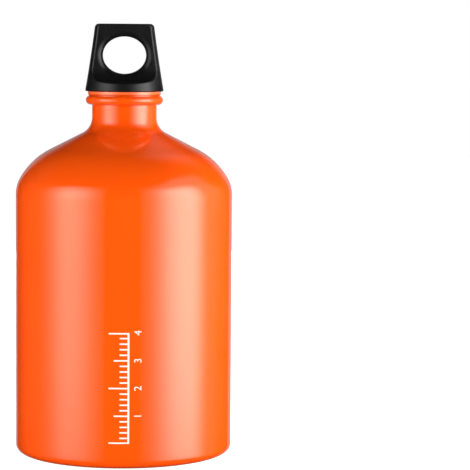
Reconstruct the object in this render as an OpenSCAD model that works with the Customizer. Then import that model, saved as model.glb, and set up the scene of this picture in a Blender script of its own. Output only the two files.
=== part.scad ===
// Camping fuel bottle: a one-piece painted aluminium bottle with a screw-in loop cap.
// The bottle stands on the XY plane, its axis is Z, and the cap's loop hole runs along Y.

/* [Body] */
// Outer diameter of the straight body
body_d = 106; // [90:1:128]
// Height at which the straight wall ends and the shoulder begins
body_h = 126.6; // [60:0.1:200]
// Thickness of the body and shoulder wall
wall_t = 1.0; // [0.6:0.1:2]
// Rounding of the outer edge of the base
base_edge_r = 3.7; // [2:0.1:8]
// Thickness of the base
base_t = 1.5; // [0.8:0.1:2.5]
// Width of the flat ring that the bottle stands on
foot_w = 3.7; // [1.5:0.1:8]
// Rounding on the inner side of the foot ring
foot_r = 3.2; // [2.6:0.1:6]
// Rise of the base dome above the foot ring
dome_h = 6.5; // [2:0.5:12]

/* [Shoulder] */
// Radius of the shoulder's crown, in section
shoulder_r = 35.5; // [20:0.5:38]
// Radius of the tighter bend where the shoulder meets the body, in section
shoulder_edge_r = 16.5; // [8:0.1:20]
// Angle that the tighter bend turns through
shoulder_edge_angle = 30.2; // [15:0.1:40]
// Slope of the shoulder below the neck, measured from the bottle's axis
shoulder_slope = 63; // [50:1:70]
// Fillet between shoulder and neck
neck_fillet_r = 8.6; // [4:0.1:10.4]

/* [Neck and mouth] */
// Outer diameter of the straight neck
neck_d = 31.5; // [31:0.1:38]
// Length of the straight neck between its fillet and the bead
neck_h = 6.4; // [5:0.1:14]
// Outer diameter of the bead round the neck
bead_d = 37.7; // [36:0.1:46]
// Radius of the bead, in section
bead_r = 2.2; // [1.8:0.05:2.4]
// Depth of the groove above the bead, measured in from the rim
groove_depth = 0.4; // [0.2:0.1:0.8]
// Distance from the bead's centre up to the rim
rim_offset = 2.5; // [2.3:0.1:3]
// Height of the rim
rim_h = 2.3; // [1.8:0.05:4]
// Outer diameter of the rim
rim_d = 35.6; // [34.6:0.1:43]
// Diameter of the neck's bore, which carries the internal thread
bore_d = 28.0; // [23:0.1:28.4]

/* [Screw thread] */
// Rise of the thread in one turn
thread_pitch = 3.0; // [2.6:0.1:4]
// Height of the thread ridges on the neck and on the plug
thread_depth = 1.1; // [0.7:0.05:1.35]
// Radial gap between one thread's crest and the other's root
thread_gap = 0.3; // [0.2:0.05:0.5]

/* [Seal] */
// Section diameter of the seal before it is squeezed
seal_section_d = 2.2; // [1.8:0.1:2.7]
// How far the closed cap squeezes the seal flat
seal_squeeze = 0.4; // [0.2:0.05:0.6]
// Gap between the seal and the plug's shank
seal_gap = 0.3; // [0.1:0.05:0.5]

/* [Cap] */
// Height of the cap from the lower edge of its skirt to its top
cap_h = 32.8; // [29:0.1:40]
// Diameter of the cap's flat top
cap_top_d = 28.6; // [24:0.1:34]
// How far the cap's flanks bow inwards between base and top
cap_flare = 0.2; // [0:0.05:0.6]
// Rounding of the cap's top edge
cap_edge_r = 0.8; // [0.4:0.1:2]
// Wall of the skirt round the rim
skirt_wall = 0.95; // [0.75:0.05:2]
// Gap between skirt and rim
skirt_gap = 0.45; // [0.3:0.05:0.8]
// How far the skirt reaches down over the rim
skirt_overlap = 0.5; // [0.2:0.1:1.2]
// Thickness of the cap's base at its rim, above the seal
ledge_t = 1.9; // [0.8:0.1:3]
// Slope of the scoop's floor
ledge_angle = 12; // [8:1:30]
// Radius of the scoop between its floor and the web
scoop_r = 5.5; // [2:0.5:13]
// Thickness of the web at its top
web_t = 12.7; // [8:0.1:15.4]
// Slope of each face of the web, so that it thickens downwards
web_taper = 2.5; // [0:0.5:5]
// Width of the elliptical loop hole
hole_w = 21.1; // [14:0.1:22]
// Height of the elliptical loop hole
hole_h = 18.2; // [12:0.1:19]
// Height of the loop hole's centre above the lower edge of the skirt
hole_z = 17.5; // [16:0.1:19]

/* [Plug] */
// Length of the plug below the bottle's mouth
plug_len = 17.2; // [14:0.1:20.8]
// Wall of the hollow plug behind its thread
plug_wall = 2.1; // [1.5:0.05:3]
// Length of the plain shank below the mouth
shank_len = 2.8; // [2:0.1:3.4]
// Gap between the shank and the neck's bore
shank_gap = 0.45; // [0.3:0.05:0.8]
// Chamfer at the plug's lower end and under its shank
plug_chamfer = 0.6; // [0.3:0.1:0.9]
// Width of the two vent slots that cross the plug's thread
vent_w = 3; // [2:0.5:5]
// Depth of the vent slots below the plug's root
vent_depth = 0.4; // [0.2:0.1:0.8]
// Length of the boss under the cap that holds the plug
boss_len = 5; // [3:0.5:8]
// Gap between boss and plug
boss_gap = 0.1; // [0.05:0.05:0.2]

/* [Hidden] */
$fn = 96;
paint = [1.0, 0.36, 0.04];
black_plastic = [0.09, 0.09, 0.095];
black_rubber = [0.16, 0.16, 0.16];
// Steps on each rounded stretch of an outline
arc_steps = 12;
// Facets to one turn of a thread
turn_steps = 30;
// How deep a thread ridge is rooted in the wall that carries it
ridge_root = 0.35;
// Width of a thread ridge at its root and at its crest, as shares of the pitch
ridge_root_share = 0.5;
ridge_crest_share = 0.24;
// Share of a turn over which a thread ridge rises out of its wall
ridge_lead = 0.2;
// Space along the axis between the end of a thread and the next shoulder
thread_clear = 0.6;
// Rounding of the rim's lower edge and of the lip at the mouth
rim_edge_r = 0.35;
lip_r = 0.6;
// Chamfer where the bore opens into the mouth
lead_in = 0.2;
// Overshoot of a cut past the face it leaves by
past = 1;

body_r = body_d / 2;
neck_r = neck_d / 2;
bore_r = bore_d / 2;
rim_r = rim_d / 2;
neck_wall = neck_r - bore_r;

foot_out_r = body_r - base_edge_r;
foot_in_r = foot_out_r - foot_w;
dome_r = (pow(foot_in_r, 2) + pow(foot_r - dome_h, 2) - pow(foot_r, 2)) / (2 * dome_h);
dome_c = [0, dome_h - dome_r];
dome_angle = atan2(foot_r - dome_c[1], foot_in_r);

edge_c = [body_r - shoulder_edge_r, body_h];
shoulder_c = edge_c + (shoulder_edge_r - shoulder_r) * polar(shoulder_edge_angle);
slope_start = shoulder_c + shoulder_r * polar(shoulder_slope);
slope_end_r = neck_r + neck_fillet_r * (1 - cos(shoulder_slope));
slope_end_z = slope_start[1] + (slope_start[0] - slope_end_r) / tan(shoulder_slope);
fillet_c = [neck_r + neck_fillet_r, slope_end_z + neck_fillet_r * sin(shoulder_slope)];
inner_fillet_c = fillet_c + [0, (neck_wall - wall_t) / sin(shoulder_slope)];

neck_top_z = fillet_c[1] + neck_h;
bead_c_r = bead_d / 2 - bead_r;
groove_r = rim_r - groove_depth;
bead_low = acos((neck_r - bead_c_r) / bead_r);
bead_high = acos((groove_r - bead_c_r) / bead_r);
bead_z = neck_top_z + bead_r * sin(bead_low);
rim_z = bead_z + rim_offset;
mouth_z = rim_z + rim_h;

seal_h = seal_section_d - seal_squeeze;
shank_r = bore_r - shank_gap;
seal_c_r = shank_r + seal_gap + seal_section_d / 2;

cap_z = mouth_z - skirt_overlap;
cap_top_z = cap_z + cap_h;
seat_z = mouth_z + seal_h;
skirt_r = rim_r + skirt_gap;
cap_base_r = skirt_r + skirt_wall;
cap_top_r = cap_top_d / 2;
ledge_z = seat_z + ledge_t;
hole_centre_z = cap_z + hole_z;

neck_crest_r = bore_r - thread_depth;
plug_crest_r = bore_r - thread_gap;
plug_root_r = neck_crest_r - thread_gap;
plug_bore_r = plug_root_r - plug_wall;
plug_z = mouth_z - plug_len;
shank_z = mouth_z - shank_len;
boss_r = plug_bore_r - boss_gap;

// The neck's thread fills the bore between its fillet and the plug's shank.
// The plug's thread starts as low as it can while half a pitch off the neck's.
ridge_half = thread_pitch * ridge_root_share / 2;
shank_low_z = shank_z - (shank_r - plug_root_r);
thread_top_z = shank_low_z - thread_clear - ridge_half;
neck_thread_z = inner_fillet_c[1];
plug_thread_low_z = plug_z + plug_chamfer + ridge_half;
pitches_down = floor((neck_thread_z - plug_thread_low_z) / thread_pitch + 0.5);
plug_thread_z = neck_thread_z + (0.5 - pitches_down) * thread_pitch;
neck_turns = (thread_top_z - neck_thread_z) / thread_pitch;
plug_turns = (thread_top_z - plug_thread_z) / thread_pitch;

function polar(a) = [cos(a), sin(a)];
function arc(c, r, from, to) = [
    for (i = [0:arc_steps]) c + r * polar(from + (to - from) * i / arc_steps)
];

// Radius of the cap's flank at a share t of its height
function cap_r(t) = cap_base_r + (cap_top_r - cap_base_r) * t - 4 * cap_flare * t * (1 - t);

function base_outline() = concat(
    arc(dome_c, dome_r, 90, dome_angle),
    arc([foot_in_r, foot_r], foot_r, dome_angle + 180, 270),
    arc([foot_out_r, base_edge_r], base_edge_r, 270, 360)
);
function shoulder_outline() = concat(
    arc(edge_c, shoulder_edge_r, 0, shoulder_edge_angle),
    arc(shoulder_c, shoulder_r, shoulder_edge_angle, shoulder_slope),
    arc(fillet_c, neck_fillet_r, 180 + shoulder_slope, 180)
);
function mouth_outline() = concat(
    arc([bead_c_r, bead_z], bead_r, -bead_low, bead_high),
    [[groove_r, rim_z]],
    arc([rim_r - rim_edge_r, rim_z + rim_edge_r], rim_edge_r, 270, 360),
    arc([rim_r - lip_r, mouth_z - lip_r], lip_r, 0, 90),
    [[bore_r + lead_in, mouth_z], [bore_r, mouth_z - lead_in]]
);
function inner_outline() = concat(
    arc(inner_fillet_c, neck_fillet_r + neck_wall, 180, 180 + shoulder_slope),
    arc(shoulder_c, shoulder_r - wall_t, shoulder_slope, shoulder_edge_angle),
    arc(edge_c, shoulder_edge_r - wall_t, shoulder_edge_angle, 0),
    arc([foot_out_r, base_t + base_edge_r - wall_t], base_edge_r - wall_t, 0, -90),
    arc([foot_in_r, foot_r], foot_r - base_t, 270, dome_angle + 180),
    arc(dome_c, dome_r + base_t, dome_angle, 90)
);

// Right-handed ridge round the Z axis, from its root radius to its crest radius
module thread_ridge(root, crest, start_z, turns) {
    half_crest = thread_pitch * ridge_crest_share / 2;
    steps = floor(turns * turn_steps);
    lead_steps = ridge_lead * turn_steps;
    points = [
        for (i = [0:steps])
            let (
                a = i * 360 / turn_steps,
                z = start_z + thread_pitch * i / turn_steps,
                rise = min(1, (i + 1) / lead_steps, (steps - i + 1) / lead_steps),
                tip = root + (crest - root) * rise,
                half_tip = ridge_half + (half_crest - ridge_half) * rise
            )
            each [
                [root * cos(a), root * sin(a), z - ridge_half],
                [tip * cos(a), tip * sin(a), z - half_tip],
                [tip * cos(a), tip * sin(a), z + half_tip],
                [root * cos(a), root * sin(a), z + ridge_half]
            ]
    ];
    sides = [
        for (i = [0:steps - 1], k = [0:3])
            let (
                p = 4 * i + k,
                q = 4 * i + (k + 1) % 4
            )
            each [[p, q, q + 4], [p, q + 4, p + 4]]
    ];
    ends = [
        [0, 2, 1],
        [0, 3, 2],
        [4 * steps, 4 * steps + 1, 4 * steps + 2],
        [4 * steps, 4 * steps + 2, 4 * steps + 3]
    ];
    all_faces = concat(sides, ends);
    // A crest inside its root turns the faces over
    outward = crest > root ? all_faces : [for (f = all_faces) [f[0], f[2], f[1]]];
    polyhedron(points = points, faces = outward, convexity = 6);
}

// Section of the space that is scooped out of one face of the cap
module scoop_section() {
    web_slope = tan(web_taper);
    ledge_slope = tan(ledge_angle);
    edge_r = cap_r((ledge_z - cap_z) / cap_h);
    edge_top = ledge_z + edge_r * ledge_slope;
    corner_y = (web_t / 2 + web_slope * (cap_top_z - edge_top)) / (1 - web_slope * ledge_slope);
    corner = [corner_y, edge_top - corner_y * ledge_slope];
    up = [-sin(web_taper), cos(web_taper)];
    out = [cos(ledge_angle), -sin(ledge_angle)];
    half_turn = (90 + web_taper + ledge_angle) / 2;
    run = scoop_r / tan(half_turn);
    far_y = cap_base_r + scoop_r;
    far_z = cap_top_z + past;
    union() {
        polygon([
            corner + run * up,
            corner + run * out,
            [far_y, edge_top - far_y * ledge_slope],
            [far_y, far_z],
            [web_t / 2 - past * web_slope, far_z]
        ]);
        translate(corner + (up + out) * scoop_r / (2 * sin(half_turn) * cos(half_turn)))
            circle(r = scoop_r);
    }
}

module scoop() {
    rotate([90, 0, 90])
        translate([0, 0, -cap_base_r - past])
        linear_extrude(height = 2 * (cap_base_r + past))
        scoop_section();
}

module loop_hole() {
    translate([0, 0, hole_centre_z])
        scale([1, 1, hole_h / hole_w])
        rotate([90, 0, 0])
        cylinder(d = hole_w, h = 2 * cap_base_r, center = true);
}

module bottle_shell() {
    color(paint)
    union() {
        rotate_extrude()
            polygon(concat(base_outline(), shoulder_outline(), mouth_outline(), inner_outline()));
        thread_ridge(bore_r + ridge_root, neck_crest_r, neck_thread_z, neck_turns);
    }
}

module seal_ring() {
    color(black_rubber)
    rotate_extrude()
        translate([seal_c_r, mouth_z + seal_h / 2])
        intersection() {
            circle(d = seal_section_d);
            square([seal_section_d, seal_h], center = true);
        }
}

module cap_loop() {
    flank_end = 1 - cap_edge_r / cap_h;
    flank = [for (i = [0:arc_steps]) let (t = flank_end * i / arc_steps) [cap_r(t), cap_z + cap_h * t]];
    top_edge_c = [cap_r(flank_end) - cap_edge_r, cap_top_z - cap_edge_r];
    color(black_plastic)
    union() {
        difference() {
            rotate_extrude()
                polygon(concat([[0, cap_z]], flank, arc(top_edge_c, cap_edge_r, 0, 90), [[0, cap_top_z]]));
            for (face = [0, 1]) mirror([0, face, 0]) scoop();
            loop_hole();
            translate([0, 0, cap_z - past]) cylinder(r = skirt_r, h = seat_z - cap_z + past);
        }
        translate([0, 0, seat_z - boss_len]) cylinder(r = boss_r, h = boss_len + ledge_t / 2);
    }
}

module thread_plug() {
    color(black_plastic)
    difference() {
        union() {
            rotate_extrude()
                polygon([
                    [plug_bore_r, plug_z],
                    [plug_root_r - plug_chamfer, plug_z],
                    [plug_root_r, plug_z + plug_chamfer],
                    [plug_root_r, shank_low_z],
                    [shank_r, shank_z],
                    [shank_r, seat_z],
                    [plug_bore_r, seat_z]
                ]);
            thread_ridge(plug_root_r - ridge_root, plug_crest_r, plug_thread_z, plug_turns);
        }
        for (side = [0, 180])
            rotate([0, 0, side])
            translate([plug_root_r - vent_depth, -vent_w / 2, plug_z - past])
            cube([bore_r, vent_w, shank_z - plug_z]);
    }
}

bottle_shell();
seal_ring();
cap_loop();
thread_plug();
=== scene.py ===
import math

import bmesh
import bpy
import numpy as np
from mathutils import Matrix, Vector


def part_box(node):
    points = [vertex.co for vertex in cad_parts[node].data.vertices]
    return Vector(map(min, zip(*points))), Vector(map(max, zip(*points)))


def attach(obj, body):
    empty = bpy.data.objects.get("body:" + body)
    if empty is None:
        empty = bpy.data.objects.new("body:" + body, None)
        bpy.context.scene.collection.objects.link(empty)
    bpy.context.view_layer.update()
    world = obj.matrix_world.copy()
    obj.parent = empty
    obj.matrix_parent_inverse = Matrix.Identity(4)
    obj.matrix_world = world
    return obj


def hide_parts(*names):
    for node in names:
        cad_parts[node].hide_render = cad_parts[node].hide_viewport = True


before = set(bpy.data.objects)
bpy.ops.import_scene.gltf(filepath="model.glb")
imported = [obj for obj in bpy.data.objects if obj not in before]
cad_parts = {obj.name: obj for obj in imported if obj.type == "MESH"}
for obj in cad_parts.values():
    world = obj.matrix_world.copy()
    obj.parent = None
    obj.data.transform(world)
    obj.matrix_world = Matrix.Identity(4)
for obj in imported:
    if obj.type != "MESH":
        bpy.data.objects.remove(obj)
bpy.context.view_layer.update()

# Sizes are in millimetres and angles in degrees, and meshes are made in metres.
MM = 0.001

# Heights and widths that the frame gives
shell_low, shell_high = [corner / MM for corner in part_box("bottle_shell")]
cap_low, cap_high = [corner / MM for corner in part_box("cap_loop")]
plug_low, plug_high = [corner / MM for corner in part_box("thread_plug")]
MOUTH_Z = shell_high.z
CAP_TOP_Z = cap_high.z
BOSS_Z = cap_low.z
PLUG_Z = plug_low.z
SEAT_Z = plug_high.z

# How far the print stands on the paint, and how deep it is rooted in it
INK_PROUD = 0.025
INK_ROOT = 0.06
BODY_R = min(shell_high.x, shell_high.y, -shell_low.x, -shell_low.y) - INK_PROUD

# Body and shoulder
BODY_H = 126.6
WALL = 1.0
BASE_EDGE_R = 3.7
BASE_T = 1.5
FOOT_W = 3.7
FOOT_R = 3.2
DOME_H = 6.5
SHOULDER_R = 35.5
SHOULDER_EDGE_R = 16.5
SHOULDER_EDGE_ANGLE = 30.2
SHOULDER_SLOPE = 63
NECK_FILLET_R = 8.6

# Neck and mouth
NECK_R = 15.75
BORE_R = 14.0
NECK_STRAIGHT = 6.4
BEAD_R = 2.2
BEAD_REACH = 18.85
GROOVE_R = 17.4
GROOVE_FILLET_R = 0.3
RIM_R = 17.8
RIM_H = 2.3
RIM_OFFSET = 2.5
RIM_EDGE_R = 0.35
LIP_R = 0.6
LEAD_IN = 0.2

# Screw thread
PITCH = 3.0
THREAD_DEPTH = 1.1
THREAD_GAP = 0.3
RIDGE_ROOT = 0.75
RIDGE_CREST = 0.36
RIDGE_LEAD = 0.2
THREAD_CLEAR = 0.6
# Rows of the neck's inside that may carry the thread: how near the bore, and how far from both ends
ROW_NEAR_BORE = 0.6
ROW_BELOW_FILLET = 2
ROW_BELOW_MOUTH = 1

# Cap
CAP_H = 32.8
CAP_BASE_R = 19.2
CAP_TOP_R = 14.3
CAP_FLARE = 0.2
CAP_CORNER_R = 1.7
SKIRT_R = 18.25
SEAT_EDGE_R = 0.15
RECESS_CORNER_R = 0.3
SKIRT_EDGE_R = 0.7
LEDGE_Z = SEAT_Z + 1.9
LEDGE_ANGLE = 12
SCOOP_R = 5.5
SCOOP_EDGE_R = 0.7
WEB_T = 12.7
WEB_TAPER = 2.5
HOLE_W = 21.1
HOLE_H = 18.2
HOLE_RISE = 17.5
HOLE_EDGE_R = 3.2
CAP_Z = CAP_TOP_Z - CAP_H
BOSS_R = 10.4
BOSS_EDGE_R = 0.5
BOSS_OVERLAP = 0.7

# Plug and seal
PLUG_BORE_R = 10.5
PLUG_ROOT_R = 12.6
PLUG_CHAMFER = 0.6
PLUG_LIP_R = 0.4
SHANK_R = 13.55
SHANK_LEN = 2.8
VENT_W = 3.0
VENT_DEPTH = 0.4
VENT_LEAST_COS = 0.5
SEAL_D = 2.2
SEAL_GAP = 0.3

# Fineness of the meshes
AROUND = 252
SEAL_AROUND = 192
THREAD_ROW = 0.14
WALL_ROWS = 48
CAP_CELL = 0.32
INK_STRIP = 0.8
INK_WELD = 1e-5
SLAB_HALF = 0.5
NET_STEPS = 4
LEAST_SLOPE = 0.05

# Edges bent by more than this stay sharp
BODY_SHARP = 50
SEAL_SHARP = 40
PLUG_SHARP = 35

# Distances that count as none
SAME_POINT = 1e-4
ON_AXIS = 1e-6
SAME_RADIUS = 0.01
TINY = 1e-9


def polar(angle):
    return np.array([math.cos(math.radians(angle)), math.sin(math.radians(angle))])


def arc(centre, radius, start, end, steps=16):
    """Points on an arc, in section."""
    turn = (end - start) / steps
    return [np.asarray(centre) + radius * polar(start + turn * i) for i in range(steps + 1)]


def line(start, end, steps=1):
    """Points on a straight stretch, in section."""
    start, end = np.asarray(start, float), np.asarray(end, float)
    return [start + (end - start) * i / steps for i in range(steps + 1)]


def linked(name, data):
    made = bpy.data.objects.new(name, data)
    bpy.context.scene.collection.objects.link(made)
    return made


def new_object(name, mesh, materials, body):
    piece = linked(name, mesh)
    for material in materials:
        mesh.materials.append(material)
    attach(piece, body)
    return piece


def closed_mesh(name, points, faces, face_materials=None):
    """A smooth-shaded mesh in metres whose normals point outwards."""
    mesh = bpy.data.meshes.new(name)
    mesh.from_pydata([tuple(p) for p in np.asarray(points) * MM], [], faces)
    if face_materials is not None:
        mesh.polygons.foreach_set("material_index", face_materials)
    shape = bmesh.new()
    shape.from_mesh(mesh)
    bmesh.ops.recalc_face_normals(shape, faces=shape.faces)
    shape.to_mesh(mesh)
    shape.free()
    mesh.shade_smooth()
    mesh.update()
    return mesh


def lathe_rows(stretches):
    """The section's points with their material numbers, without a point that repeats the last one."""
    rows, row_materials = [], []
    for points, material in stretches:
        for point in points:
            if rows and np.hypot(*(rows[-1] - point)) < SAME_POINT:
                continue
            rows.append(np.asarray(point, float))
            row_materials.append(material)
    return rows, row_materials


def band_faces(a, b, around, a_on_axis, b_on_axis):
    """Faces between two rows, which begin at the points numbered a and b."""
    faces = []
    for k in range(around):
        n = (k + 1) % around
        if a_on_axis:
            faces.append((a, b + k, b + n))
        elif b_on_axis:
            faces.append((a + k, b, a + n))
        else:
            faces.append((a + k, b + k, b + n, a + n))
    return faces


def lathe(name, stretches, around=AROUND, ring=False, relief=None):
    """Turns stretches of section points round Z. Each stretch is (points, material number).
    With ring, the last point joins the first. relief(angles, radius, height) gives the radii of one row."""
    rows, row_materials = lathe_rows(stretches)
    angles = np.arange(around) * 2 * math.pi / around
    points, starts = [], []
    for radius, height in rows:
        starts.append(len(points))
        if radius < ON_AXIS:
            points.append((0, 0, height))
            continue
        radii = np.full(around, radius) if relief is None else relief(angles, radius, height)
        points += list(zip(radii * np.cos(angles), radii * np.sin(angles), np.full(around, height)))
    faces, face_materials = [], []
    last = len(rows) if ring else len(rows) - 1
    for i in range(last):
        j = (i + 1) % len(rows)
        band = band_faces(starts[i], starts[j], around, rows[i][0] < ON_AXIS, rows[j][0] < ON_AXIS)
        faces += band
        face_materials += [row_materials[j]] * len(band)
    return closed_mesh(name, points, faces, face_materials)


def smooth(share):
    return share * share * (3 - 2 * share)


def thread_height(angles, height, start_z, turns):
    """Share of the full thread height at each angle of one row, for a right-handed ridge."""
    turn = angles / (2 * math.pi)
    nearest = np.round((height - start_z) / PITCH - turn)
    along = turn + nearest
    off = np.abs(height - start_z - PITCH * along)
    flank = np.clip((RIDGE_ROOT - off) / (RIDGE_ROOT - RIDGE_CREST), 0, 1)
    lead = np.clip(np.minimum(along, turns - along) / RIDGE_LEAD, 0, 1)
    return smooth(flank) * smooth(lead)


# Places that the outline, the thread and the paint share
dome_in_r = BODY_R - BASE_EDGE_R - FOOT_W
foot_out_r = BODY_R - BASE_EDGE_R
edge_c = np.array([BODY_R - SHOULDER_EDGE_R, BODY_H])
shoulder_c = edge_c + (SHOULDER_EDGE_R - SHOULDER_R) * polar(SHOULDER_EDGE_ANGLE)
bead_c_r = BEAD_REACH - BEAD_R
bead_low = math.degrees(math.acos((NECK_R - bead_c_r) / BEAD_R))
bead_high = math.degrees(math.acos((GROOVE_R - bead_c_r) / BEAD_R))
rim_z = MOUTH_Z - RIM_H
bead_z = rim_z - RIM_OFFSET
neck_top_z = bead_z - BEAD_R * math.sin(math.radians(bead_low))
fillet_c = np.array([NECK_R + NECK_FILLET_R, neck_top_z - NECK_STRAIGHT])
neck_wall = NECK_R - BORE_R
inner_fillet_c = fillet_c + [0, (neck_wall - WALL) / math.sin(math.radians(SHOULDER_SLOPE))]
shank_z = MOUTH_Z - SHANK_LEN
shank_low_z = shank_z - (SHANK_R - PLUG_ROOT_R)
thread_top_z = shank_low_z - THREAD_CLEAR - RIDGE_ROOT
neck_thread_z = inner_fillet_c[1]
plug_low_thread_z = PLUG_Z + PLUG_CHAMFER + RIDGE_ROOT
pitches_down = math.floor((neck_thread_z - plug_low_thread_z) / PITCH + 0.5)
plug_thread_z = neck_thread_z + (0.5 - pitches_down) * PITCH
neck_turns = (thread_top_z - neck_thread_z) / PITCH
plug_turns = (thread_top_z - plug_thread_z) / PITCH


def bottle_sections():
    """The section from the middle of the base, up the outside, over the lip and down the inside."""
    dome_r = (dome_in_r**2 + (FOOT_R - DOME_H) ** 2 - FOOT_R**2) / (2 * DOME_H)
    dome_c = np.array([0, DOME_H - dome_r])
    dome_angle = math.degrees(math.atan2(FOOT_R - dome_c[1], dome_in_r))
    outside = [
        *arc(dome_c, dome_r, 90, dome_angle, 20),
        *arc([dome_in_r, FOOT_R], FOOT_R, dome_angle + 180, 270, 10),
        *arc([foot_out_r, BASE_EDGE_R], BASE_EDGE_R, 270, 360, 16),
        *line([BODY_R, BASE_EDGE_R], [BODY_R, BODY_H], WALL_ROWS),
        *arc(edge_c, SHOULDER_EDGE_R, 0, SHOULDER_EDGE_ANGLE, 20),
        *arc(shoulder_c, SHOULDER_R, SHOULDER_EDGE_ANGLE, SHOULDER_SLOPE, 28),
        *arc(fillet_c, NECK_FILLET_R, 180 + SHOULDER_SLOPE, 180, 20),
        *arc([bead_c_r, bead_z], BEAD_R, -bead_low, bead_high, 24),
        *line([GROOVE_R, rim_z - GROOVE_FILLET_R], [GROOVE_R, rim_z]),
        *arc([RIM_R - RIM_EDGE_R, rim_z + RIM_EDGE_R], RIM_EDGE_R, 270, 360, 8),
        *arc([RIM_R - LIP_R, MOUTH_Z - LIP_R], LIP_R, 0, 60, 8),
    ]
    thread_low = inner_fillet_c[1] - RIDGE_ROOT
    thread_high = thread_top_z + RIDGE_ROOT
    rows = math.ceil((thread_high - thread_low) / THREAD_ROW)
    inside = [
        *arc([RIM_R - LIP_R, MOUTH_Z - LIP_R], LIP_R, 60, 90, 4),
        *line([BORE_R + LEAD_IN, MOUTH_Z], [BORE_R, MOUTH_Z - LEAD_IN]),
        *line([BORE_R, thread_high], [BORE_R, inner_fillet_c[1]], rows),
        *arc(inner_fillet_c, NECK_FILLET_R + neck_wall, 180, 180 + SHOULDER_SLOPE, 40),
        *arc(shoulder_c, SHOULDER_R - WALL, SHOULDER_SLOPE, SHOULDER_EDGE_ANGLE, 20),
        *arc(edge_c, SHOULDER_EDGE_R - WALL, SHOULDER_EDGE_ANGLE, 0, 12),
        *arc([foot_out_r, BASE_T + BASE_EDGE_R - WALL], BASE_EDGE_R - WALL, 0, -90, 10),
        *arc([dome_in_r, FOOT_R], FOOT_R - BASE_T, 270, dome_angle + 180, 8),
        *arc(dome_c, dome_r + BASE_T, dome_angle, 90, 12),
    ]
    return [(outside, 0), (inside, 1)]


def neck_relief(angles, radius, height):
    in_reach = inner_fillet_c[1] - ROW_BELOW_FILLET < height < MOUTH_Z - ROW_BELOW_MOUTH
    if not in_reach or abs(radius - BORE_R) >= ROW_NEAR_BORE:
        return np.full(len(angles), radius)
    return radius - THREAD_DEPTH * thread_height(angles, height, neck_thread_z, neck_turns)


def plug_sections():
    rows = math.ceil((shank_low_z - PLUG_Z - PLUG_CHAMFER) / THREAD_ROW)
    shell = [
        *line([PLUG_BORE_R, SEAT_Z], [PLUG_BORE_R, PLUG_Z + PLUG_LIP_R], 12),
        *arc([PLUG_BORE_R + PLUG_LIP_R, PLUG_Z + PLUG_LIP_R], PLUG_LIP_R, 180, 270, 6),
        *line([PLUG_ROOT_R - PLUG_CHAMFER, PLUG_Z], [PLUG_ROOT_R, PLUG_Z + PLUG_CHAMFER], 4),
        *line([PLUG_ROOT_R, PLUG_Z + PLUG_CHAMFER], [PLUG_ROOT_R, shank_low_z], rows),
        *line([PLUG_ROOT_R, shank_low_z], [SHANK_R, shank_z], 4),
        *line([SHANK_R, shank_z], [SHANK_R, SEAT_Z], 6),
    ]
    return [(shell, 0)]


def plug_relief(angles, radius, height):
    if radius < PLUG_ROOT_R - SAME_RADIUS:
        return np.full(len(angles), radius)
    radii = np.full(len(angles), radius)
    if radius < SHANK_R - SAME_RADIUS:
        ridge = thread_height(angles, height, plug_thread_z, plug_turns)
        radii = radius + (BORE_R - THREAD_GAP - radius) * ridge
    if height < shank_z:
        in_slot = np.abs(radii * np.sin(angles)) < VENT_W / 2
        floor = (PLUG_ROOT_R - VENT_DEPTH) / np.abs(np.cos(angles)).clip(VENT_LEAST_COS, 1)
        radii = np.where(in_slot, np.minimum(radii, floor), radii)
    return radii


def seal_sections():
    squeezed = SEAT_Z - MOUTH_Z
    centre = np.array([SHANK_R + SEAL_GAP + SEAL_D / 2, MOUTH_Z + squeezed / 2])
    flat = math.degrees(math.asin(squeezed / SEAL_D))
    outer = arc(centre, SEAL_D / 2, -flat, flat, 14)
    inner = arc(centre, SEAL_D / 2, 180 - flat, 180 + flat, 14)
    return [(outer + inner, 0)]


def cap_radius(height):
    share = (height - CAP_Z) / CAP_H
    return CAP_BASE_R + (CAP_TOP_R - CAP_BASE_R) * share - 4 * CAP_FLARE * share * (1 - share)


def both(a, b, radius):
    """Space inside both shapes, with the edge between them rounded."""
    over = np.hypot(np.maximum(a + radius, 0), np.maximum(b + radius, 0))
    return np.minimum(np.maximum(a, b), -radius) + over


def either(a, b, radius):
    """Space inside either shape, with the corner between them filled by a fillet."""
    return -both(-a, -b, radius)


def scooped_faces(front, z):
    """The web between the cap's two scoops, and the sloping ledge that they run out on."""
    taper = math.radians(WEB_TAPER)
    web = (front - WEB_T / 2 - math.tan(taper) * (CAP_TOP_Z - z)) * math.cos(taper)
    ledge = math.radians(LEDGE_ANGLE)
    floor_top = LEDGE_Z + cap_radius(LEDGE_Z) * math.tan(ledge)
    floor = (z - floor_top + front * math.tan(ledge)) * math.cos(ledge)
    return either(web, floor, SCOOP_R)


def loop_hole(x, z):
    """Depth inside the elliptical hole, which is negative in the material round it."""
    across = x / (HOLE_W / 2)
    up = (z - CAP_Z - HOLE_RISE) / (HOLE_H / 2)
    reach = np.hypot(across, up) + TINY
    slope = np.hypot(across / (HOLE_W / 2), up / (HOLE_H / 2)) / reach + TINY
    return (1 - reach) / slope


def cap_field(x, y, z):
    """Signed distance from the cap's surface, near enough, negative inside."""
    away = np.hypot(x, y)
    lean = math.atan((CAP_BASE_R - CAP_TOP_R) / CAP_H)
    turned = (away - cap_radius(z)) * math.cos(lean)
    turned = both(turned, z - CAP_TOP_Z, CAP_CORNER_R)
    shape = both(turned, scooped_faces(np.abs(y), z), SCOOP_EDGE_R)
    shape = both(shape, loop_hole(x, z), HOLE_EDGE_R)
    shape = both(shape, CAP_Z - z, SKIRT_EDGE_R)
    recess = both(away - SKIRT_R, z - SEAT_Z, RECESS_CORNER_R)
    shape = both(shape, -recess, SEAT_EDGE_R)
    boss = both(away - BOSS_R, BOSS_Z - z, BOSS_EDGE_R)
    boss = np.maximum(boss, z - SEAT_Z - BOSS_OVERLAP)
    return np.minimum(shape, boss)


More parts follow.
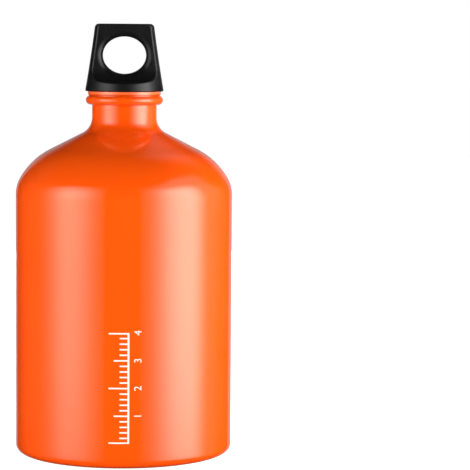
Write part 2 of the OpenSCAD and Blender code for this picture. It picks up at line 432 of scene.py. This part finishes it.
def field_slope(field, points, step=0.01):
    slopes = []
    for axis in np.eye(3) * step:
        slopes.append((field(*(points + axis).T) - field(*(points - axis).T)) / (2 * step))
    return np.array(slopes).T


def corner_block(corner, cells):
    """Where the grid holds the values at one corner of every cell."""
    return tuple(slice(s, s + n) for s, n in zip(corner, cells))


def edge_crossings(values, cells):
    """For every cell, the sum of the places where its edges cross the surface, and their number."""
    total, count = np.zeros(cells + (3,)), np.zeros(cells)
    for start in [np.array(c) for c in np.ndindex(2, 2, 2)]:
        for axis in range(3):
            if start[axis]:
                continue
            end = start.copy()
            end[axis] = 1
            a, b = values[corner_block(start, cells)], values[corner_block(end, cells)]
            crossed = (a < 0) != (b < 0)
            share = np.where(crossed, a / np.where(crossed, a - b, 1), 0)
            for k in range(3):
                total[..., k] += np.where(crossed, start[k] + (end[k] - start[k]) * share, 0)
            count += crossed
    return total, count


def settle(points, field, cell):
    """Moves points along the field's slope onto its surface."""
    for _ in range(NET_STEPS):
        slope = field_slope(field, points)
        move = field(*points.T) / (slope**2).sum(1).clip(LEAST_SLOPE)
        points -= slope * move[:, None].clip(-cell / 2, cell / 2)


def net_faces(inside, number, cells):
    """One quad round each grid edge that crosses the surface, between the points of its four cells."""
    quads = []
    for axis in range(3):
        side, rise = [k for k in range(3) if k != axis]
        crossed = np.argwhere(inside != np.roll(inside, -1, axis))
        crossed = crossed[(crossed > 0).all(1) & (crossed < np.array(cells)).all(1)]
        around = []
        for s, r in ((0, 0), (-1, 0), (-1, -1), (0, -1)):
            place = crossed.copy()
            place[:, side] += s
            place[:, rise] += r
            around.append(number[tuple(place.T)])
        quads.append(np.array(around).T)
    faces = np.concatenate(quads)
    return faces[(faces >= 0).all(1)].tolist()


def net_mesh(name, field, low, high, cell):
    """A quad mesh of the surface where field is zero, with one point in each grid cell that it crosses."""
    axes = [np.arange(low[k], high[k] + cell, cell) for k in range(3)]
    values = field(*np.meshgrid(*axes, indexing="ij"))
    inside = values < 0
    cells = tuple(n - 1 for n in inside.shape)
    total, count = edge_crossings(values, cells)
    used = count > 0
    number = np.full(cells, -1)
    number[used] = np.arange(used.sum())
    points = np.array(low) + cell * (np.argwhere(used) + total[used] / count[used][:, None])
    settle(points, field, cell)
    mesh = closed_mesh(name, points, net_faces(inside, number, cells))
    slope = field_slope(field, points)
    mesh.normals_split_custom_set_from_vertices(slope / np.linalg.norm(slope, axis=1)[:, None])
    return mesh


def shader_tree(name):
    material = bpy.data.materials.new(name)
    material.use_nodes = True
    tree = material.node_tree
    tree.nodes.clear()
    return material, tree


def add_node(tree, kind, inputs=None, **settings):
    """A node with its settings, and with values or links on its inputs."""
    made = tree.nodes.new(kind)
    for key, value in settings.items():
        setattr(made, key, value)
    for key, value in (inputs or {}).items():
        if isinstance(value, bpy.types.NodeSocket):
            tree.links.new(value, made.inputs[key])
        else:
            made.inputs[key].default_value = value
    return made


def noise(tree, scale, detail=3.0, roughness=0.5, stretch=(1, 1, 1)):
    """Noise over the object's own coordinates. scale is in cycles to the millimetre."""
    place = add_node(tree, "ShaderNodeTexCoord")
    sized = add_node(tree, "ShaderNodeMapping", {"Vector": place.outputs["Object"], "Scale": stretch})
    made = add_node(
        tree,
        "ShaderNodeTexNoise",
        {"Vector": sized.outputs[0], "Scale": scale / MM, "Detail": detail, "Roughness": roughness},
    )
    return made.outputs["Fac"]


def spread(tree, value, low, high, from_low=0.3, from_high=0.7):
    made = add_node(
        tree,
        "ShaderNodeMapRange",
        {"Value": value, "From Min": from_low, "From Max": from_high, "To Min": low, "To Max": high},
    )
    return made.outputs["Result"]


def mixed(tree, share, first, second):
    made = add_node(tree, "ShaderNodeMix", data_type="RGBA")
    for socket, value in ((made.inputs[0], share), (made.inputs[6], first), (made.inputs[7], second)):
        if isinstance(value, bpy.types.NodeSocket):
            tree.links.new(value, socket)
        else:
            socket.default_value = value
    return made.outputs[2]


def bump(tree, height, depth):
    inputs = {"Height": height, "Strength": 1.0, "Distance": depth * MM}
    return add_node(tree, "ShaderNodeBump", inputs).outputs["Normal"]


def worked(tree, operation, *values):
    """A Math node on values or links."""
    return add_node(tree, "ShaderNodeMath", dict(enumerate(values)), operation=operation).outputs[0]


def larger(tree, first, second):
    return worked(tree, "MAXIMUM", first, second)


def scaled(tree, value, factor):
    return worked(tree, "MULTIPLY", value, factor)


def emission_surface(tree, strength):
    return add_node(tree, "ShaderNodeEmission", {"Color": WHITE, "Strength": strength}).outputs[0]


def finish_surface(tree, surface):
    output = add_node(tree, "ShaderNodeOutputMaterial")
    tree.links.new(surface, output.inputs["Surface"])


def finish_shader(tree, **inputs):
    named = {key.replace("_", " "): value for key, value in inputs.items()}
    shader = add_node(tree, "ShaderNodeBsdfPrincipled", named)
    finish_surface(tree, shader.outputs[0])


# Colours, in linear values
WHITE = (1, 1, 1, 1)
PAINT = (1.0, 0.094, 0.003, 1)
PAINT_CLOUD = (0.98, 0.088, 0.003, 1)
PAINT_GLOSS = (1.0, 0.26, 0.015, 1)
# The next two tones are painted shade and painted highlight, mixed into the paint in bands
PAINTED_SHADE_TONE = (0.55, 0.042, 0.001, 1)
PAINTED_HIGHLIGHT_TONE = (1.0, 0.2, 0.07, 1)
RUBBED_METAL = (0.55, 0.52, 0.5, 1)
ALUMINIUM = (0.76, 0.76, 0.77, 1)
ALUMINIUM_CLOUD = (0.66, 0.66, 0.68, 1)
CAP_BLACK = (0.006, 0.006, 0.0065, 1)
CAP_SCUFF = (0.018, 0.017, 0.017, 1)
PLUG_BLACK = (0.010, 0.010, 0.011, 1)
PLUG_SCUFF = (0.028, 0.028, 0.029, 1)
RUBBER = (0.012, 0.012, 0.012, 1)
RUBBER_BLOOM = (0.03, 0.03, 0.028, 1)
INK = (0.93, 0.86, 0.78, 1)
INK_THIN = (0.9, 0.58, 0.4, 1)

# Bands of painted shade in the groove below the rim, under the bead, on the shoulder below the neck and at
# the base edge, and one band of painted highlight on the rim below the cap.
# Each has the height of its middle, its reach up and down, its strength and its tone.
HIGHLIGHT_BAND_RISE = 1.25
NECK_FOOT_DROP = 5.5
PAINTED_LIGHT_BANDS = (
    (rim_z, 0.8, 1.0, PAINTED_SHADE_TONE),
    (rim_z + HIGHLIGHT_BAND_RISE, 0.9, 0.9, PAINTED_HIGHLIGHT_TONE),
    (neck_top_z, 0.6, 0.6, PAINTED_SHADE_TONE),
    (fillet_c[1] - NECK_FOOT_DROP, 6.0, 0.4, PAINTED_SHADE_TONE),
    (0.0, 1.2, 0.8, PAINTED_SHADE_TONE),
)

# The paint is rubbed through from the first height to nothing at the second
FOOT_RUB_LOW = 0.02
FOOT_RUB_HIGH = 0.5
# Depths of the bumps
PAINT_PEEL = 0.0016
PLASTIC_GRAIN = 0.006
METAL_LINES = 0.006
RUBBER_GRAIN = 0.01
INK_GRAIN = 0.004


def in_band(tree, height, middle, reach):
    """1 at one height, and down to 0 within the reach on both sides of it."""
    above = worked(tree, "SUBTRACT", height, middle * MM)
    away = worked(tree, "ABSOLUTE", above)
    return spread(tree, away, 1, 0, 0, reach * MM)


def orange_lacquer():
    """Sprayed gloss lacquer: a slightly uneven coat with fine orange peel, rubbed on its foot ring."""
    material, tree = shader_tree("orange_lacquer")
    cloud = noise(tree, 0.02, 2.0)
    colour = mixed(tree, spread(tree, cloud, 0, 1), PAINT, PAINT_CLOUD)
    place = add_node(tree, "ShaderNodeTexCoord")
    height = add_node(tree, "ShaderNodeSeparateXYZ", {"Vector": place.outputs["Object"]}).outputs["Z"]
    # Mixes in the bands of painted shade and painted highlight
    for middle, reach, share, tone in PAINTED_LIGHT_BANDS:
        colour = mixed(tree, scaled(tree, in_band(tree, height, middle, reach), share), colour, tone)
    near_foot = spread(tree, height, 1, 0, FOOT_RUB_LOW * MM, FOOT_RUB_HIGH * MM)
    scuffs = spread(tree, noise(tree, 0.9, 6.0, 0.7), 0, 1, 0.5, 0.56)
    colour = mixed(tree, scaled(tree, near_foot, scuffs), colour, RUBBED_METAL)
    peel = bump(tree, noise(tree, 0.35, 2.0), PAINT_PEEL)
    finish_shader(
        tree,
        Base_Color=colour,
        Roughness=spread(tree, noise(tree, 0.08, 4.0), 0.28, 0.34),
        Specular_Tint=PAINT_GLOSS,
        Normal=peel,
        Coat_Weight=1.0,
        Coat_Roughness=0.04,
        Coat_Normal=peel,
    )
    return material


def bare_aluminium():
    """The drawn metal inside the bottle and at its mouth, with fine lines round the axis."""
    material, tree = shader_tree("bare_aluminium")
    lines = noise(tree, 0.6, 4.0, 0.6, (0.05, 0.05, 14.0))
    cloud = noise(tree, 0.05, 3.0)
    finish_shader(
        tree,
        Base_Color=mixed(tree, spread(tree, cloud, 0, 1), ALUMINIUM, ALUMINIUM_CLOUD),
        Metallic=1.0,
        Roughness=spread(tree, lines, 0.26, 0.46),
        Normal=bump(tree, lines, METAL_LINES),
    )
    return material


def moulded_plastic(name, colour, scuff_colour, roughness, gloss):
    """Black moulded plastic with a fine grain, a cloudy sheen and faint scuffs."""
    material, tree = shader_tree(name)
    cloud = noise(tree, 0.11, 4.0)
    scuffs = spread(tree, noise(tree, 0.5, 8.0, 0.75, (1, 1, 0.25)), 0, 1, 0.58, 0.75)
    skin = bump(tree, noise(tree, 2.4, 4.0, 0.65), PLASTIC_GRAIN)
    finish_shader(
        tree,
        Base_Color=mixed(tree, scuffs, colour, scuff_colour),
        Roughness=spread(tree, cloud, roughness[0], roughness[1]),
        Specular_IOR_Level=gloss,
        Normal=skin,
    )
    return material


def seal_rubber():
    material, tree = shader_tree("seal_rubber")
    bloom = noise(tree, 0.4, 5.0, 0.6)
    finish_shader(
        tree,
        Base_Color=mixed(tree, spread(tree, bloom, 0, 1), RUBBER, RUBBER_BLOOM),
        Roughness=spread(tree, bloom, 0.62, 0.85),
        Normal=bump(tree, noise(tree, 3.0, 3.0), RUBBER_GRAIN),
    )
    return material


def white_ink():
    """Screen-printed ink: nearly solid, a little thin where the mesh of the screen was."""
    material, tree = shader_tree("white_ink")
    thin = spread(tree, noise(tree, 2.2, 3.0), 0, 0.25, 0.45, 0.75)
    finish_shader(
        tree,
        Base_Color=mixed(tree, thin, INK, INK_THIN),
        Roughness=0.42,
        Normal=bump(tree, noise(tree, 1.5, 2.0), INK_GRAIN),
    )
    return material


def flat_shape(outline):
    """A thin slab in the XY plane, in millimetres, from an outline."""
    shape = bmesh.new()
    low = [shape.verts.new((x, y, 0)) for x, y in outline]
    face = shape.faces.new(low)
    raised = bmesh.ops.extrude_face_region(shape, geom=[face])
    moved = [v for v in raised["geom"] if isinstance(v, bmesh.types.BMVert)]
    bmesh.ops.translate(shape, verts=moved, vec=(0, 0, 2 * SLAB_HALF))
    bmesh.ops.triangulate(shape, faces=shape.faces[:])
    return shape


def bar(x0, y0, x1, y1):
    return [(x0, y0), (x1, y0), (x1, y1), (x0, y1)]


def digit_shape(text, size, x, y):
    """Plain numerals that read upwards, as a slab centred on (x, y)."""
    curve = bpy.data.curves.new("digits", "FONT")
    curve.body = text
    curve.size = size
    curve.align_x = "CENTER"
    curve.align_y = "CENTER"
    curve.extrude = SLAB_HALF
    curve.resolution_u = 6
    made = bpy.data.objects.new("digits", curve)
    mesh = bpy.data.meshes.new_from_object(made)
    bpy.data.objects.remove(made)
    shape = bmesh.new()
    shape.from_mesh(mesh)
    bmesh.ops.remove_doubles(shape, verts=shape.verts, dist=SAME_POINT)
    turned = Matrix.Translation((x, y, SLAB_HALF)) @ Matrix.Rotation(math.radians(90), 4, "Z")
    bmesh.ops.transform(shape, matrix=turned, verts=shape.verts)
    bpy.data.meshes.remove(mesh)
    return shape


def cut_in_strips(shape):
    """Cuts a slab across, so that it can bend round the wall, and turns its faces outwards."""
    low = min(v.co.x for v in shape.verts)
    high = max(v.co.x for v in shape.verts)
    for k in range(math.ceil(low / INK_STRIP), math.ceil(high / INK_STRIP)):
        parts = shape.verts[:] + shape.edges[:] + shape.faces[:]
        middle = (k * INK_STRIP, 0, 0)
        bmesh.ops.bisect_plane(shape, geom=parts, dist=INK_WELD, plane_co=middle, plane_no=(1, 0, 0))
    bmesh.ops.dissolve_degenerate(shape, dist=INK_WELD, edges=shape.edges[:])
    bmesh.ops.recalc_face_normals(shape, faces=shape.faces[:])
    if shape.calc_volume(signed=True) < 0:
        bmesh.ops.reverse_faces(shape, faces=shape.faces[:])


def wrapped_print(name, shapes, azimuth):
    """Lays slabs on the body wall. Across is measured along the wall from azimuth, up is the height."""
    whole = bmesh.new()
    for shape in shapes:
        cut_in_strips(shape)
        mesh = bpy.data.meshes.new("slab")
        shape.to_mesh(mesh)
        whole.from_mesh(mesh)
        bpy.data.meshes.remove(mesh)
        shape.free()
    for v in whole.verts:
        across, up, level = v.co
        angle = math.radians(azimuth) + across / BODY_R
        radius = (BODY_R - INK_ROOT + (INK_ROOT + INK_PROUD) * level) * MM
        v.co = (radius * math.sin(angle), -radius * math.cos(angle), up * MM)
    whole.normal_update()
    mesh = bpy.data.meshes.new(name)
    whole.to_mesh(mesh)
    whole.free()
    return mesh


# Print on the wall: a plain level scale at the front, and a fill line with an arrow at the back
SCALE_RIGHT = 2.7
SCALE_LOW = 12.4
SCALE_HIGH = 65.1
SCALE_STEPS = 20
TICK_T = 0.7
LONG_TICK = 9.8
MIDDLE_TICK = 7.4
SHORT_TICK = 4.6
SPINE_T = 0.9
NUMERALS = 4
STEPS_TO_NUMERAL = 5
NUMERAL_X = 6.9
NUMERAL_SIZE = 5.0
FILL_Z = 121.8
FILL_W = 14.7
FILL_T = 0.5
ARROW_H = 4.1
ARROW_HEAD_W = 2.8
ARROW_HEAD_H = 1.9
ARROW_STEM_W = 1.6
ARROW_GAP = 0.5


def tick_length(i):
    if i % (2 * STEPS_TO_NUMERAL) == 0:
        return LONG_TICK
    return MIDDLE_TICK if i % STEPS_TO_NUMERAL == 0 else SHORT_TICK


def scale_outline():
    """Up the right side of the scale, then down its left side from tick to tick."""
    spine_left = SCALE_RIGHT - SPINE_T
    outline = [(SCALE_RIGHT, SCALE_LOW), (SCALE_RIGHT, SCALE_HIGH)]
    for i in range(SCALE_STEPS, -1, -1):
        left = SCALE_RIGHT - tick_length(i)
        middle = SCALE_LOW + (SCALE_HIGH - SCALE_LOW) * i / SCALE_STEPS
        middle = min(max(middle, SCALE_LOW + TICK_T / 2), SCALE_HIGH - TICK_T / 2)
        if i < SCALE_STEPS:
            outline.append((spine_left, middle + TICK_T / 2))
        outline.append((left, middle + TICK_T / 2))
        outline.append((left, middle - TICK_T / 2))
        if i > 0:
            outline.append((spine_left, middle - TICK_T / 2))
    return outline


def level_scale():
    step = (SCALE_HIGH - SCALE_LOW) / SCALE_STEPS
    shapes = [flat_shape(scale_outline())]
    for i in range(1, NUMERALS + 1):
        height = SCALE_LOW + step * STEPS_TO_NUMERAL * i
        shapes.append(digit_shape(str(i), NUMERAL_SIZE, NUMERAL_X, height))
    return shapes


def fill_mark():
    tip = FILL_Z - FILL_T / 2 - ARROW_GAP
    arrow = [
        (0, tip),
        (-ARROW_HEAD_W / 2, tip - ARROW_HEAD_H),
        (-ARROW_STEM_W / 2, tip - ARROW_HEAD_H),
        (-ARROW_STEM_W / 2, tip - ARROW_H),
        (ARROW_STEM_W / 2, tip - ARROW_H),
        (ARROW_STEM_W / 2, tip - ARROW_HEAD_H),
        (ARROW_HEAD_W / 2, tip - ARROW_HEAD_H),
    ]
    fill_line = bar(-FILL_W / 2, FILL_Z - FILL_T / 2, FILL_W / 2, FILL_Z + FILL_T / 2)
    return [flat_shape(fill_line), flat_shape(arrow)]


def make_body():
    mesh = lathe("bottle_body", bottle_sections(), relief=neck_relief)
    mesh.set_sharp_from_angle(angle=math.radians(BODY_SHARP))
    body = new_object("bottle_body", mesh, [orange_lacquer(), bare_aluminium()], "bottle")
    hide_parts("bottle_shell")


def make_seal():
    mesh = lathe("mouth_seal", seal_sections(), SEAL_AROUND, ring=True)
    mesh.set_sharp_from_angle(angle=math.radians(SEAL_SHARP))
    seal = new_object("mouth_seal", mesh, [seal_rubber()], "seal")
    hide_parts("seal_ring")


def make_cap():
    reach = CAP_BASE_R + 1
    low, high = (-reach, -reach, BOSS_Z - 1), (reach, reach, CAP_TOP_Z + 1)
    mesh = net_mesh("loop_cap", cap_field, low, high, CAP_CELL)
    plastic = moulded_plastic("cap_plastic", CAP_BLACK, CAP_SCUFF, roughness=(0.3, 0.42), gloss=0.24)
    cap = new_object("loop_cap", mesh, [plastic], "cap")
    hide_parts("cap_loop")


def make_plug():
    mesh = lathe("screw_plug", plug_sections(), ring=True, relief=plug_relief)
    mesh.set_sharp_from_angle(angle=math.radians(PLUG_SHARP))
    plastic = moulded_plastic("plug_plastic", PLUG_BLACK, PLUG_SCUFF, roughness=(0.42, 0.55), gloss=0.4)
    plug = new_object("screw_plug", mesh, [plastic], "cap")
    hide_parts("thread_plug")


def make_print():
    ink = white_ink()
    for name, shapes, azimuth in (("level_scale", level_scale(), 0), ("fill_mark", fill_mark(), 180)):
        mark = new_object(name, wrapped_print(name, shapes, azimuth), [ink], "bottle")


# Stage and light. Azimuth 0 faces the camera and grows towards +X.
# Three walls of light: their distance, lower end and fade above it, and their grid.
LIGHT_R = 1100
LIGHT_LOW = -24
LIGHT_FADE = 16
LIGHT_COLUMNS = 80
LIGHT_ROWS = 56
# The height on the bottle that elevations are taken from, and how it moves with the elevation
AIM_Z = 80
AIM_RISE = 45
AIM_EL = 20
# A bell is a width and a power, and a slope is where it starts and how long it is, all in degrees.
LEFT_GLOW = 4.85
LEFT_AZ = -58
LEFT_START = -20
LEFT_END = -112
LEFT_OUTER_BELL = (21.5, 2.1)
LEFT_INNER_BELL = (26.5, 2.5)
LEFT_DROP = 0.016
LEFT_DROP_EL = 12
LEFT_DIM = 0.75
LEFT_DIM_SLOPE = (18, 24)
LEFT_TOP = 41
LEFT_TOP_AZ = -40
LEFT_TOP_FALL = 0.0058
RIGHT_GLOW = 7.9
RIGHT_AZ = 65
RIGHT_START = 17
RIGHT_END = 120
RIGHT_END_FADE = 14
RIGHT_OUTER_BELL = (23.4, 2.8)
RIGHT_INNER_BELL = (29, 2.4)
RIGHT_DROP = 0.014
RIGHT_DIM_SLOPE = (20, 28)
RIGHT_HAZE = 1.5
RIGHT_HAZE_AZ = 70
RIGHT_HAZE_BELL = (40, 2)
RIGHT_HAZE_LOW = 0.4
RIGHT_HAZE_SLOPE = (5, 15)
RIGHT_HAZE_FADE = 9
RIGHT_TOP = 55
RIGHT_TOP_FALL = 0.0055
BACK_GLOW = 0.33
BACK_AZ = 149
BACK_START = RIGHT_END + 1
BACK_END = 178
BACK_BELL = (17.5, 2)
BACK_EL = 52
BACK_EL_BELL = (15, 2)
BACK_LOW = 26
BACK_TOP = 68
# The share of a wall's light that reaches the diffuse part of a surface
DIFFUSE_SHARE = 0.55
FLOOR_SIZE = 12000
FLOOR_NEAR = 0.85
FLOOR_GLOW = 0.3
# The grey of the floor under the object is painted shade
FLOOR_SHADE_GREY = (0.5, 0.5, 0.5, 1)
FLOOR_PALE = (0.85, 0.85, 0.85, 1)
# The floor is grey, as painted shade under the object, up to the first distance and pale from the second,
# and white to the eye from the last
FLOOR_SHADE_R = 45
FLOOR_PALE_R = 65
FLOOR_NEAR_R = 150
FLOOR_WHITE_R = 600
BACKDROP_Y = 2600
BACKDROP_LEFT = -1150
BACKDROP_RIGHT = 1500
BACKDROP_LOW = -1500
BACKDROP_HIGH = 1350
BACKDROP_FADE = 650
BACKDROP_GLOSS = 0.33
SKY = 0.07
FILL_R = 1000
# Each fill lamp's azimuth, elevation, level and width
FILLS = {
    "right": (112, 8, 1.55, 350),
    "front": (0, 1, 0.17, 150),
    "left": (-60, 5, 0.3, 350),
    "left_back": (-112, 22, 0.22, 700),
    "back": (180, 8, 0.45, 350),
}
CAMERA_AT = (0, -1087.2, 204.60)
CAMERA_YAW = 2.875
CAMERA_PITCH = 5.140
CAMERA_ROLL = 0.421
LENS = 169.95
SENSOR = 36
CLIP_NEAR = 50
CLIP_FAR = 50000


def ease(share):
    return smooth(np.clip(share, 0, 1))


def eased(value, start, length):
    """0 up to start, and 1 from the end of the slope on."""
    return ease((value - start) / length)


def bell(off, width, power):
    return math.exp(-(abs(off / width) ** power))


def left_top(azimuth):
    return LEFT_TOP - LEFT_TOP_FALL * max(0, LEFT_TOP_AZ - azimuth) ** 2


def left_level(azimuth, elevation):
    off = azimuth - LEFT_AZ
    across = bell(off, *LEFT_OUTER_BELL) if off < 0 else bell(off, *LEFT_INNER_BELL)
    rise = 1 - LEFT_DIM * eased(elevation, *LEFT_DIM_SLOPE)
    return LEFT_GLOW * across * rise * (1 - LEFT_DROP * max(0, LEFT_DROP_EL - elevation))


def right_top(azimuth):
    return RIGHT_TOP - RIGHT_TOP_FALL * (azimuth - RIGHT_HAZE_AZ) ** 2


def right_level(azimuth, elevation):
    off = azimuth - RIGHT_AZ
    across = bell(off, *RIGHT_OUTER_BELL) if off > 0 else bell(off, *RIGHT_INNER_BELL)
    rise = 1 - eased(elevation, *RIGHT_DIM_SLOPE)
    main = RIGHT_GLOW * across * rise * (1 - RIGHT_DROP * max(0, -elevation))
    haze = RIGHT_HAZE * bell(azimuth - RIGHT_HAZE_AZ, *RIGHT_HAZE_BELL)
    haze = haze * ease((right_top(azimuth) - elevation) / RIGHT_HAZE_FADE)
    haze = haze * (RIGHT_HAZE_LOW + (1 - RIGHT_HAZE_LOW) * eased(elevation, *RIGHT_HAZE_SLOPE))
    return max(main, haze) * ease((RIGHT_END - azimuth) / RIGHT_END_FADE)


def back_top(azimuth):
    return BACK_TOP


def back_level(azimuth, elevation):
    return BACK_GLOW * bell(azimuth - BACK_AZ, *BACK_BELL) * bell(elevation - BACK_EL, *BACK_EL_BELL)


def wall_points(start, end, low, top_of, level_of):
    """Points of a curved wall round the object, column by column, and the level of the light at each."""
    points, levels = [], []
    for i in range(LIGHT_COLUMNS + 1):
        azimuth = start + (end - start) * i / LIGHT_COLUMNS
        angle = math.radians(azimuth)
        for k in range(LIGHT_ROWS + 1):
            elevation = low + (top_of(azimuth) - low) * k / LIGHT_ROWS
            aim_z = AIM_Z + AIM_RISE * min(max(elevation / AIM_EL, -1), 1)
            height = aim_z + LIGHT_R * math.tan(math.radians(elevation))
            points.append((LIGHT_R * math.sin(angle), -LIGHT_R * math.cos(angle), height))
            levels.append(level_of(azimuth, elevation) * ease((elevation - low) / LIGHT_FADE))
    return points, levels


def wall_faces():
    faces = []
    for i in range(LIGHT_COLUMNS):
        for k in range(LIGHT_ROWS):
            a = i * (LIGHT_ROWS + 1) + k
            b = a + LIGHT_ROWS + 1
            faces.append((a, b, b + 1, a + 1))
    return faces


def glow_material(name):
    """Light at the mesh's own level in reflections, and at a share of it for all else."""
    material, tree = shader_tree(name)
    own = add_node(tree, "ShaderNodeAttribute", attribute_name="level").outputs["Fac"]
    path = add_node(tree, "ShaderNodeLightPath").outputs
    share = spread(tree, path["Is Glossy Ray"], DIFFUSE_SHARE, 1, 0, 1)
    finish_surface(tree, emission_surface(tree, scaled(tree, own, share)))
    return material


def light_wall(name, start, end, low, top_of, level_of):
    """A curved soft light round the object, whose glow follows level_of. It isn't seen directly."""
    points, levels = wall_points(start, end, low, top_of, level_of)
    mesh = bpy.data.meshes.new(name)
    mesh.from_pydata([tuple(p) for p in np.array(points) * MM], [], wall_faces())
    level = mesh.attributes.new("level", "FLOAT", "POINT")
    level.data.foreach_set("value", levels)
    mesh.shade_smooth()
    mesh.materials.append(glow_material(name))
    wall = linked(name, mesh)
    wall.visible_camera = False
    wall.visible_shadow = False


def fill_lamp(name, azimuth, elevation, level, width):
    """A square lamp that lights the diffuse part of a surface and isn't mirrored in its gloss."""
    lamp = bpy.data.lights.new(name, "AREA")
    lamp.size = width * MM
    lamp.energy = level * (math.pi * FILL_R * MM) ** 2
    made = linked(name, lamp)
    around, rise = math.radians(azimuth), math.radians(elevation)
    aim = Vector((math.sin(around) * math.cos(rise), -math.cos(around) * math.cos(rise), math.sin(rise)))
    place = Vector((0, 0, AIM_Z * MM)) + aim * FILL_R * MM
    made.matrix_world = Matrix.Translation(place) @ (-aim).to_track_quat("-Z", "Y").to_matrix().to_4x4()
    made.visible_glossy = False
    made.visible_camera = False


def stage_plane(name, corners, material, glossy=True):
    mesh = bpy.data.meshes.new(name)
    mesh.from_pydata([tuple(np.array(c) * MM) for c in corners], [], [(0, 1, 2, 3)])
    mesh.materials.append(material)
    plane = linked(name, mesh)
    plane.visible_glossy = glossy


def pale_floor():
    """White where it is seen, but for the object's shadow. Below the object it is grey and doesn't glow, as
    painted shade that keeps the base dark.
    """
    material, tree = shader_tree("pale_floor")
    place = add_node(tree, "ShaderNodeNewGeometry").outputs["Position"]
    away = add_node(tree, "ShaderNodeVectorMath", {0: place}, operation="LENGTH").outputs["Value"]
    # Grey floor under the object: painted shade on the base
    clear = spread(tree, away, 0, 1, FLOOR_SHADE_R * MM, FLOOR_PALE_R * MM)
    tone = mixed(tree, clear, FLOOR_SHADE_GREY, FLOOR_PALE)
    lit = add_node(tree, "ShaderNodeBsdfDiffuse", {"Color": tone})
    path = add_node(tree, "ShaderNodeLightPath").outputs
    mirrored = larger(tree, path["Is Glossy Ray"], path["Is Transmission Ray"])
    seen = larger(tree, path["Is Camera Ray"], mirrored)
    shown = spread(tree, away, FLOOR_NEAR, 1, FLOOR_NEAR_R * MM, FLOOR_WHITE_R * MM)
    strength = larger(tree, scaled(tree, seen, shown), scaled(tree, clear, FLOOR_GLOW))
    total = add_node(tree, "ShaderNodeAddShader")
    tree.links.new(lit.outputs[0], total.inputs[0])
    tree.links.new(emission_surface(tree, strength), total.inputs[1])
    finish_surface(tree, total.outputs[0])
    return material


def white_backdrop():
    material, tree = shader_tree("white_backdrop")
    path = add_node(tree, "ShaderNodeLightPath").outputs
    seen = larger(tree, path["Is Camera Ray"], path["Is Transmission Ray"])
    place = add_node(tree, "ShaderNodeNewGeometry").outputs["Position"]
    height = add_node(tree, "ShaderNodeSeparateXYZ", {"Vector": place}).outputs["Z"]
    fade_low = (BACKDROP_HIGH - BACKDROP_FADE) * MM
    fading = spread(tree, height, BACKDROP_GLOSS, 0, fade_low, BACKDROP_HIGH * MM)
    mirrored = scaled(tree, path["Is Glossy Ray"], fading)
    finish_surface(tree, emission_surface(tree, larger(tree, seen, mirrored)))
    return material


def make_world():
    """White for the camera, dark in reflections, and a plain level of light for everything else."""
    world = bpy.data.worlds.new("studio")
    bpy.context.scene.world = world
    world.use_nodes = True
    tree = world.node_tree
    tree.nodes.clear()
    path = add_node(tree, "ShaderNodeLightPath").outputs
    behind = larger(tree, path["Is Camera Ray"], path["Is Transmission Ray"])
    lit = spread(tree, path["Is Glossy Ray"], SKY, 0, 0, 1)
    strength = larger(tree, behind, lit)
    shader = add_node(tree, "ShaderNodeBackground", {"Color": WHITE, "Strength": strength})
    output = add_node(tree, "ShaderNodeOutputWorld")
    tree.links.new(shader.outputs[0], output.inputs["Surface"])


def make_stage():
    half = FLOOR_SIZE / 2
    corners = [(-half, -half, 0), (half, -half, 0), (half, half, 0), (-half, half, 0)]
    # The floor is left out of reflections
    stage_plane("floor", corners, pale_floor(), glossy=False)
    corners = [
        (BACKDROP_LEFT, BACKDROP_Y, BACKDROP_LOW),
        (BACKDROP_RIGHT, BACKDROP_Y, BACKDROP_LOW),
        (BACKDROP_RIGHT, BACKDROP_Y, BACKDROP_HIGH),
        (BACKDROP_LEFT, BACKDROP_Y, BACKDROP_HIGH),
    ]
    stage_plane("backdrop", corners, white_backdrop())
    light_wall("light_left", LEFT_START, LEFT_END, LIGHT_LOW, left_top, left_level)
    light_wall("light_right", RIGHT_START, RIGHT_END, LIGHT_LOW, right_top, right_level)
    light_wall("light_back", BACK_START, BACK_END, BACK_LOW, back_top, back_level)
    for name, settings in FILLS.items():
        fill_lamp("fill_" + name, *settings)
    make_world()


def make_camera():
    yaw, pitch = math.radians(CAMERA_YAW), math.radians(CAMERA_PITCH)
    ahead = Vector((math.sin(yaw) * math.cos(pitch), math.cos(yaw) * math.cos(pitch), -math.sin(pitch)))
    right = Vector((math.cos(yaw), -math.sin(yaw), 0))
    up = right.cross(ahead)
    roll = math.radians(CAMERA_ROLL)
    side = right * math.cos(roll) + up * math.sin(roll)
    top = up * math.cos(roll) - right * math.sin(roll)
    data = bpy.data.cameras.new("camera")
    data.lens = LENS
    data.sensor_width = SENSOR
    data.clip_start = CLIP_NEAR * MM
    data.clip_end = CLIP_FAR * MM
    camera = linked("camera", data)
    turned = Matrix((side, top, -ahead)).transposed().to_4x4()
    camera.matrix_world = Matrix.Translation(Vector(CAMERA_AT) * MM) @ turned
    bpy.context.scene.camera = camera


make_camera()
make_stage()
make_body()
make_seal()
make_cap()
make_plug()
make_print()
bpy.context.scene.view_settings.view_transform = "Standard"
